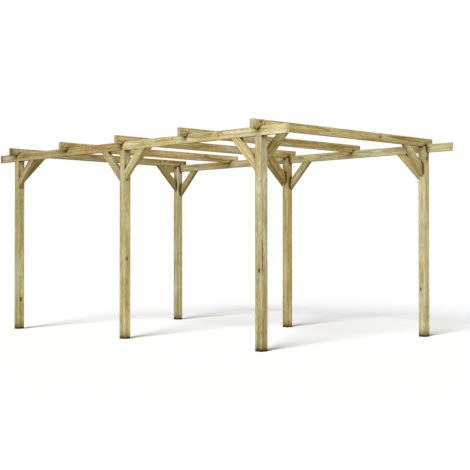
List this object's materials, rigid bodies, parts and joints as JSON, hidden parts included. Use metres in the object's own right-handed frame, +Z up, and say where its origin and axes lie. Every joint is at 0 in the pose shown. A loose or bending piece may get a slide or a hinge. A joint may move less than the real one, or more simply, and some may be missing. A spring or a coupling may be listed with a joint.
{
  "type": "timber carport",
  "caption": "Open timber carport frame: square posts in two rows, a plate on each row, notched rafters across and mitred corner braces, for a roof over a parked car.",
  "frame": {"origin": "on the ground, in the middle of the plan", "axes": "+X along the carport towards its front end, +Y across it towards the right-hand row of posts, +Z up"},
  "size_m": [5.21, 3.01, 2.341],
  "materials": {
    "planed_posts": "planed pine, green-tinted pressure treatment, matt",
    "planed_beams": "planed pine, green-tinted pressure treatment, matt",
    "planed_braces": "planed pine, green-tinted pressure treatment, matt"
  },
  "bodies": {
    "root": {"front_bay_rafter": "planed_beams", "front_rafter": "planed_beams", "left_front_plate": "planed_beams", "left_front_plate_brace": "planed_braces", "left_front_post": "planed_posts", "left_front_rafter_brace": "planed_braces", "left_middle_front_plate_brace": "planed_braces", "left_middle_post": "planed_posts", "left_middle_rafter_brace": "planed_braces", "left_middle_rear_plate_brace": "planed_braces", "left_rear_plate": "planed_beams", "left_rear_plate_brace": "planed_braces", "left_rear_post": "planed_posts", "left_rear_rafter_brace": "planed_braces", "middle_rafter": "planed_beams", "rear_bay_rafter": "planed_beams", "rear_rafter": "planed_beams", "right_front_plate": "planed_beams", "right_front_plate_brace": "planed_braces", "right_front_post": "planed_posts", "right_front_rafter_brace": "planed_braces", "right_middle_front_plate_brace": "planed_braces", "right_middle_post": "planed_posts", "right_middle_rafter_brace": "planed_braces", "right_middle_rear_plate_brace": "planed_braces", "right_rear_plate": "planed_beams", "right_rear_plate_brace": "planed_braces", "right_rear_post": "planed_posts", "right_rear_rafter_brace": "planed_braces"}
  },
  "joints": []
}
